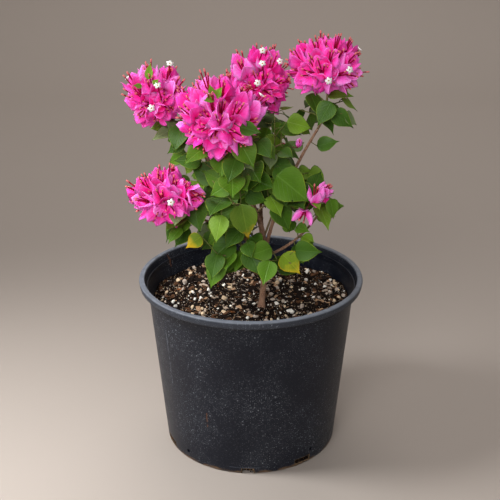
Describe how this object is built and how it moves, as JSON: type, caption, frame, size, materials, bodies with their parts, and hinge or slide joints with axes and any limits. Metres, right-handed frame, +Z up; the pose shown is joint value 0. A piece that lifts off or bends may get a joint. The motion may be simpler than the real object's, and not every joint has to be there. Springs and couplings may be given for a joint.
{
  "type": "potted bougainvillea bush",
  "caption": "Young bougainvillea bush with magenta bracts on slim arching boughs, in a round black plastic nursery pot filled with bark potting mix.",
  "frame": {"origin": "middle of the pot's flat underside", "axes": "+Z up along the pot's axis, +Y away from the plant's front, +X to the right as seen from the front"},
  "size_m": [0.3097, 0.3, 0.5537],
  "materials": {
    "pot_plastic": "satin black, dusty",
    "potting_mix": "rough",
    "bark": "rough",
    "foliage": "satin",
    "bracts": "matte, papery"
  },
  "bodies": {
    "root": {"pot": "pot_plastic", "potting_mix": "potting_mix", "trunk": "bark", "bough_right": "bark", "bough_upper_left": "bark", "bough_lower_left": "bark", "bough_low_right": "bark", "bough_back": "bark", "bough_back_left": "bark", "bloom_top_right": "bracts", "bloom_centre": "bracts", "bloom_back": "bracts", "bloom_upper_left": "bracts", "bloom_lower_left": "bracts", "bloom_low_right": "bracts", "bloom_back_left": "bracts", "leaves_front": "foliage", "leaves_mid_left": "foliage", "leaves_mid_right": "foliage", "leaves_high_right": "foliage", "leaves_low_left": "foliage", "leaves_low_right": "foliage", "leaves_back_right": "foliage", "leaves_back_low": "foliage"}
  },
  "joints": []
}
